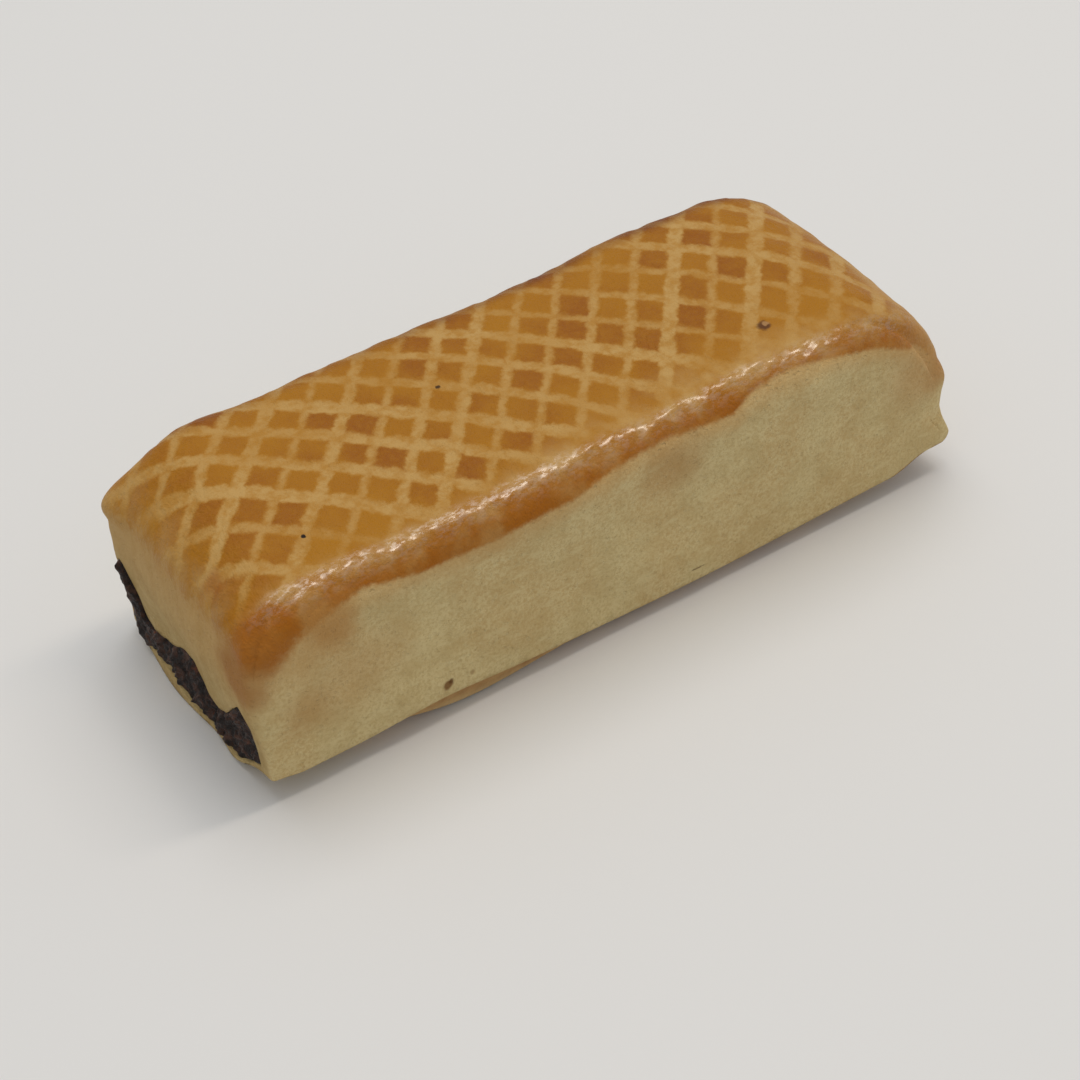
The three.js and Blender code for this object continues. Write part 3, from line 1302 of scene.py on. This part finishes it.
    def browned(self, crumb: DoughCrumb) -> Socket:
        """Colour of the underside, with the seam flap's paler rim."""
        kit = crumb.kit
        brown = kit.blend(kit.ramp(crumb.soft, 0.3, 0.7), self.underside, self.underside_dark)
        return kit.blend(kit.mask(Mask.RIM), brown, self.rim)

    def relief(self, crumb: DoughCrumb, glaze: Value, shine: Value) -> list[tuple[Value, float]]:
        """Heights for the bumps: grain and pores in bare dough, crackle and wrinkles in glaze.

        Args:
            crumb: the dough's unevenness.
            glaze: 1 on glazed dough.
            shine: 1 on the glossy ridge.

        Returns:
            Heights from 0 to 1, each with its depth in millimetres.
        """
        kit = crumb.kit
        grain = kit.noise(crumb.place, 0.45, 3.0, 0.7)
        pores = kit.ramp(kit.cells(crumb.place, 1.1), 0.10, 0.35)
        crackle = crumb.noise((1.0, 1.6, 1.6), 0.55, 4.0, 0.75)
        wrinkle = crumb.noise((1.2, 0.8, 0.8), 1.3, 3.0, 0.7)
        return [
            (grain * (1.0 - glaze * 0.6), self.grain_depth),
            (pores * (1.0 - glaze), self.pore_depth),
            (crackle * glaze * (0.3 + shine * 0.7), self.crackle_depth),
            (wrinkle * glaze, self.wrinkle_depth),
        ]

    def add_mark(self, crumb: DoughCrumb, colour: Socket, mark: Blemish) -> Socket:
        """Paints one mark over a colour, with a soft, uneven edge.

        Args:
            crumb: the dough's unevenness.
            colour: the colour below.
            mark: the mark.

        Returns:
            The colour with the mark.
        """
        kit, scale = crumb.kit, mark.facing.value
        node = kit.make("ShaderNodeVectorMath", {"operation": "DISTANCE"})
        kit.feed(node.inputs[0], kit.stretched(crumb.place, scale))
        kit.feed(node.inputs[1], tuple(part * share for part, share in zip(mark.centre, scale)))
        ragged = (kit.noise(crumb.place, 1.2 * mark.radius) - 0.5) * mark.radius
        away = Value(kit, node.outputs["Value"]) + ragged
        start, end = 1.0 - mark.softness, 1.0 + 0.5 * mark.softness
        cover = 1.0 - kit.ramp(away, start * mark.radius, end * mark.radius)
        return kit.blend(cover * mark.strength, colour, mark.colour)


@dataclass(frozen=True)
class FillingFinish:
    """Dark dried-pear paste: fibrous, coarse and slightly moist."""

    dark: Colour = linear(27, 15, 11)
    brown: Colour = linear(86, 55, 40)
    fruit: Colour = linear(136, 70, 32)
    fibre: Colour = linear(118, 90, 72)
    specular: float = 0.35
    lump_depth: float = 0.5
    strand_depth: float = 0.25
    grit_depth: float = 0.15

    def build(self) -> Material:
        """The material: near-black paste with fibres, redder bits of fruit and small glints."""
        kit = NodeKit("fruit_filling")
        place = kit.place()
        coarse = kit.noise(place, 1.6, 4.0, 0.65)
        fine = kit.noise(place, 0.4, 3.0, 0.7)
        strands = kit.noise(kit.stretched(place, (1.0, 0.35, 2.2)), 0.7, 3.0, 0.6)
        paste = kit.blend(kit.ramp(coarse, 0.42, 0.7), self.dark, self.brown)
        paste = kit.blend(kit.ramp(strands, 0.62, 0.78) * 0.6, paste, self.fibre)
        bits = 1.0 - kit.ramp(kit.cells(place, 3.4), 0.10, 0.26)
        paste = kit.blend(bits * kit.ramp(coarse, 0.4, 0.6) * 0.5, paste, self.fruit)
        sockets = {
            "Base Color": paste,
            "Roughness": kit.ramp(fine, 0.35, 0.7, 0.35, 0.8),
            "Specular IOR Level": self.specular,
        }
        depths = (self.lump_depth, self.strand_depth, self.grit_depth)
        return kit.finish(sockets, list(zip((coarse, strands, fine), depths)))


# ---------------------------------------------------------------------------------------------
# The two pieces
# ---------------------------------------------------------------------------------------------


@dataclass(frozen=True)
class GlazeLine:
    """Lower border of the egg wash: a line of x and z on the near side, a height on the others."""

    border: tuple[tuple[float, float], ...] = (
        (-66.0, 28.0), (-62.6, 27.5), (-60.4, 28.0), (-56.0, 30.6), (-51.0, 31.8),
        (-47.1, 32.6), (-36.3, 30.8), (-24.6, 31.0), (-12.1, 31.8), (-3.8, 33.4), (5.4, 34.1),
        (19.0, 33.4), (22.6, 35.3), (30.0, 36.0), (38.0, 35.4), (48.0, 33.4), (58.7, 28.6),
        (66.0, 20.0),
    )
    back_border: float = 31.5
    left_border: float = 28.5
    right_border: float = 29.5
    near_blur: float = 2.0
    open_corner_blur: float = 6.0
    back_blur: float = 4.0
    left_blur: float = 9.0
    right_blur: float = 8.0

    def cover(self, place: Array) -> Array:
        """Share of egg wash on each point, 0.5 on the border.

        Args:
            place: points in millimetres.

        Returns:
            1 on the glazed top and 0 or less on the bare sides, with a sharp border on the near
            side and a soft one over the ends.
        """
        x, y, z = place.T
        near_border = np.interp(x, *np.array(self.border).T)
        blur = lerp(self.near_blur, self.open_corner_blur, smoothstep(x, -48.0, -60.0))
        near = (z - near_border) / blur
        back = (z - self.back_border) / self.back_blur
        left = (z - self.left_border) / self.left_blur
        right = (z - self.right_border) / self.right_blur
        sides = lerp(near, back, smoothstep(y, -5.0, 12.0))
        at_left = smoothstep(x, -59.0, -64.0) * smoothstep(y, -22.5, -18.5)
        at_right = smoothstep(x, 46.0, 58.0) * smoothstep(y, -22.8, -17.0)
        return np.clip(0.5 + lerp(lerp(sides, left, at_left), right, at_right), -2.0, 1.0)


@dataclass(frozen=True)
class DoughJacket:
    """The dough: base crust, sides, scored top, draped ends and the lip over the opening."""

    NAME = "pear_bread_dough_jacket"
    NODE = "dough_jacket"

    skin: BarSkin
    glaze: GlazeLine = GlazeLine()
    tunnel: Tunnel = Tunnel()
    left_lines: int = 30
    along_lines: int = 190
    right_lines: int = 48
    near_lines: int = 20
    back_lines: int = 8
    across_lines: int = 66
    rows_below: int = 3
    rows_inside: int = 12
    rows_above: int = 36

    def lines_up(self) -> Array:
        """Row positions w, with rows on the crust line and on the lip line."""
        low, high = self.skin.opening.low_row, self.skin.opening.high_row
        below = np.linspace(0.0, low, self.rows_below + 1)[:-1]
        inside = np.linspace(low, high, self.rows_inside + 1)[:-1]
        above = np.linspace(high, 1.0, self.rows_above + 1)
        return 2.0 * np.concatenate([below, inside, above]) - 1.0

    def surface(self) -> Surface:
        """Outer skin and inner space joined at the opening's rim."""
        skin = self.skin
        across = spaced(self.near_lines, skin.inner_across, self.across_lines, self.back_lines)
        along = spaced(self.left_lines, skin.inner_along, self.along_lines, self.right_lines)
        first = int(np.abs(across - skin.opening.near_v).argmin())
        last = int(np.abs(across - skin.opening.back_v).argmin())
        rows = (self.rows_below, self.rows_below + self.rows_inside)
        grid = CubeGrid(along, across, self.lines_up(), (first, last), rows)
        cube, quads, rim = grid.build()
        points = skin.at(cube[:, 0], cube[:, 1], cube[:, 2])
        outer = skin.uneven(points)
        shares = square_rim(last - first + 1, self.rows_inside + 1)
        inner, inner_quads = self.tunnel.build(outer[rim], shares, 0.0)
        numbers = np.concatenate([rim, np.arange(len(inner) - len(rim)) + len(outer)])
        all_points = np.concatenate([outer, inner[len(rim) :]])
        all_quads = np.concatenate([quads, numbers[turned_round(inner_quads)]])
        x, y = points.place[:, 0], points.place[:, 1]
        strokes = np.zeros((len(all_points), 2))
        for column, family in enumerate((FORWARD_STROKES, BACKWARD_STROKES)):
            strokes[: len(outer), column] = family.count(x, y)
        return Surface(all_points, all_quads, self.masks(points, len(all_points)), strokes)

    def masks(self, points: SkinPoint, count: int) -> dict[str, Array]:
        """Values for the finish at each point; the inner space gets zeros.

        Args:
            points: the outer skin.
            count: number of points with the inner space.

        Returns:
            Arrays by mask name.
        """
        x, y, z = points.place.T
        skin = self.skin
        near_wall = -skin.half_width
        # The ridge band is where the glaze is darkened with painted shade.
        ridge = hump(y, near_wall + 0.6, 4.6) * smoothstep(z, 26.0, 31.0)
        corner = hump(y, -21.0, 6.0) * smoothstep(x, -58.0, -62.0) * smoothstep(z, 18.0, 24.0)
        baked = smoothstep(y, 16.6, 19.8) * smoothstep(z, 29.0, 34.0) * smoothstep(x, -62.0, -50.0)
        below = points.baseness
        values = {
            Mask.GLAZE: self.glaze.cover(points.place),
            Mask.SCORE: skin.score_strength(x, y),
            Mask.RIDGE: np.clip(ridge + corner, 0.0, 1.0),
            Mask.SHINE: hump(y, near_wall + 3.1, 2.7) * smoothstep(z, 31.0, 34.5),
            Mask.BAKED: baked * lerp(0.35, 1.0, smoothstep(x, -30.0, 12.0)),
            Mask.UNDER: below * smoothstep(skin.edge_height(x, y) - z, -0.05, 0.35),
            Mask.RIM: below * skin.flap(x) * hump(y, near_wall + 1.6, 0.9),
            # Where the open end's drape gets its painted shade.
            Mask.DRAPE: smoothstep(x, -57.0, -63.5) * smoothstep(y, -23.3, -21.5),
        }
        inner = (0, count - len(x))
        return {mask.value: np.pad(value, inner) for mask, value in values.items()}

    def build(self) -> Object:
        """The finished piece."""
        piece = to_mesh(self.NAME, self.surface())
        piece.data.materials.append(DoughFinish().build())
        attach(piece, BODY)
        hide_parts(self.NODE)
        return piece


@dataclass(frozen=True)
class PearFilling:
    """The filling: a core that fills the jacket and shows a rough face in the opening.

    The roughness fades to edge_share of itself at the face's rim and to back_share at the back.
    """

    NAME = "pear_bread_filling"
    NODE = "pear_filling"

    skin: BarSkin
    tunnel: Tunnel = Tunnel(loops=20)
    gap: float = 0.12
    columns: int = 190
    rows: int = 44
    inset_across: float = 0.003
    inset_up: float = 0.002
    depth_at_crust: float = 0.25
    depth_at_lip: float = 0.12
    bulge: float = 0.2
    back_bulge: float = 0.9
    edge_share: float = 0.3
    back_share: float = 0.4
    lump: Unevenness = Unevenness(length=4.2, seed=11, depth=0.36)
    shred: Unevenness = Unevenness(length=1.5, seed=12, depth=0.20)
    grit: Unevenness = Unevenness(length=0.8, seed=13, depth=0.09)

    def surface(self) -> Surface:
        """Rough face on the opening's part of the skin, joined to a tube inside the jacket."""
        opening, inset = self.skin.opening, self.inset_across
        columns, rows = np.linspace(-1, 1, self.columns), np.linspace(-1, 1, self.rows)
        a, b = np.meshgrid(columns, rows, indexing="ij")
        v = lerp(opening.near_v + inset, opening.back_v - inset, (a + 1) / 2).ravel()
        low, high = opening.low_row + self.inset_up, opening.high_row - self.inset_up
        rise = lerp(low, high, (b + 1) / 2).ravel()
        face = self.skin.at(-np.ones(v.size), v, 2.0 * rise - 1.0).place
        face[:, 0] += self.face_depth(face, a.ravel(), b.ravel())
        numbers = np.arange(a.size).reshape(a.shape)
        corners = [numbers[:-1, :-1], numbers[:-1, 1:], numbers[1:, 1:], numbers[1:, :-1]]
        cells = np.stack(corners, axis=-1).reshape(-1, 4)
        rim = rim_of(numbers)
        shares = square_rim(self.columns, self.rows)
        inner, quads = self.tunnel.build(face[rim], shares, self.gap)
        joined = np.concatenate([rim, np.arange(len(inner) - len(rim)) + len(face)])
        points = np.concatenate([face, inner[len(rim) :]])
        return Surface(points, np.concatenate([cells, joined[quads]]))

    def face_depth(self, face: Array, a: Array, b: Array) -> Array:
        """How far the face lies inside the skin, less its bulge and its lumps and shreds.

        Args:
            face: points of the smooth skin in the opening.
            a: across the opening, -1 to 1.
            b: up the opening, -1 at the crust and 1 at the lip.

        Returns:
            The depth of each point in millimetres.
        """
        y = face[:, 1]
        edge = smoothstep(np.maximum(np.abs(a), np.abs(b)), 1.0, 0.88)
        bulge = self.bulge + self.back_bulge * smoothstep(y, 13.0, 18.5)
        rough = self.lump.at(face) + self.shred.at(face) + self.grit.at(face)
        rough = rough * lerp(self.edge_share, 1.0, edge)
        rough = rough * lerp(1.0, self.back_share, smoothstep(y, 11.0, 16.0))
        return lerp(self.depth_at_crust, self.depth_at_lip, (b + 1) / 2) - bulge * edge - rough

    def build(self) -> Object:
        """The finished piece."""
        piece = to_mesh(self.NAME, self.surface())
        piece.data.materials.append(FillingFinish().build())
        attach(piece, BODY)
        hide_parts(self.NODE)
        return piece


# ---------------------------------------------------------------------------------------------
# Studio
# ---------------------------------------------------------------------------------------------


@dataclass(frozen=True)
class Tabletop:
    """Plain pale floor."""

    half_size: float = 3.0
    colour: Colour = linear(224, 223, 221)

    def build(self) -> Object:
        """A flat square under the bar."""
        h = self.half_size
        mesh = bpy.data.meshes.new("tabletop")
        mesh.from_pydata([(-h, -h, 0), (h, -h, 0), (h, h, 0), (-h, h, 0)], [], [(0, 1, 2, 3)])
        floor = add_object("tabletop", mesh)
        kit = NodeKit("tabletop")
        mesh.materials.append(kit.finish({"Base Color": self.colour, "Roughness": 0.6}))
        return floor


@dataclass(frozen=True)
class SoftBox:
    """A rectangular lamp that points at the bar."""

    name: str
    place: Triple
    width: float
    length: float
    power: float
    colour: Colour

    def build(self, target: Vector) -> Object:
        """The lamp, turned towards a target.

        Args:
            target: the point that it shines on, in metres.

        Returns:
            The lamp's object.
        """
        lamp = bpy.data.lights.new(self.name, "AREA")
        lamp.shape = "RECTANGLE"
        lamp.size = self.width
        lamp.size_y = self.length
        lamp.energy = self.power
        lamp.color = self.colour
        box = add_object(self.name, lamp)
        box.location = self.place
        box.rotation_euler = (target - Vector(self.place)).to_track_quat("-Z", "Y").to_euler()
        return box


@dataclass(frozen=True)
class Studio:
    """Soft light all round, a square lamp above and a long narrow one that gives the glints."""

    ambient: Colour = (0.975, 0.99, 1.0)
    ambient_strength: float = 0.50
    target: Triple = (0.0, 0.0, 0.02)
    boxes: tuple[SoftBox, ...] = (
        SoftBox("overhead", (0.06, 0.24, 1.15), 0.8, 0.8, 5.0, (1.0, 0.99, 0.98)),
        SoftBox("glint", (0.48, -0.09, 1.0), 0.10, 0.5, 1.9, (1.0, 0.88, 0.74)),
    )

    def build(self) -> None:
        """The world and the lamps."""
        world = bpy.data.worlds.new("studio")
        world.use_nodes = True
        background = world.node_tree.nodes["Background"]
        background.inputs["Color"].default_value = (*self.ambient, 1.0)
        background.inputs["Strength"].default_value = self.ambient_strength
        bpy.context.scene.world = world
        bpy.context.scene.view_settings.view_transform = "Standard"
        for box in self.boxes:
            box.build(Vector(self.target))


@dataclass(frozen=True)
class Camera:
    """Camera that looks down on the bar from its open near corner; angles are in degrees."""

    place: Triple = (-0.14115, -0.20554, 0.22175)
    heading: float = 34.1
    pitch: float = 41.5
    roll: float = -1.1
    lens: float = 66.67
    sensor: float = 36.0

    def build(self) -> Object:
        """The scene's camera: turned to its heading, tipped down and rolled."""
        data = bpy.data.cameras.new("camera")
        data.lens = self.lens
        data.sensor_width = self.sensor
        data.clip_start = 0.01
        turn = Matrix.Rotation(math.radians(-self.heading), 4, "Z")
        tip = Matrix.Rotation(math.radians(90.0 - self.pitch), 4, "X")
        roll = Matrix.Rotation(math.radians(self.roll), 4, "Z")
        camera = add_object("camera", data)
        camera.matrix_world = Matrix.Translation(self.place) @ turn @ tip @ roll
        bpy.context.scene.camera = camera
        return camera


def main() -> None:
    """Builds the pieces and the studio in order and reports each piece."""
    logging.basicConfig(level=logging.INFO, format="%(message)s")
    Camera().build()
    Studio().build()
    Tabletop().build()
    skin = BarSkin.fitted(*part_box(DoughJacket.NODE))
    for part in (DoughJacket(skin), PearFilling(skin)):
        piece = part.build()
        log.info("%s: %d faces", piece.name, len(piece.data.polygons))


if __name__ == "__main__":
    main()
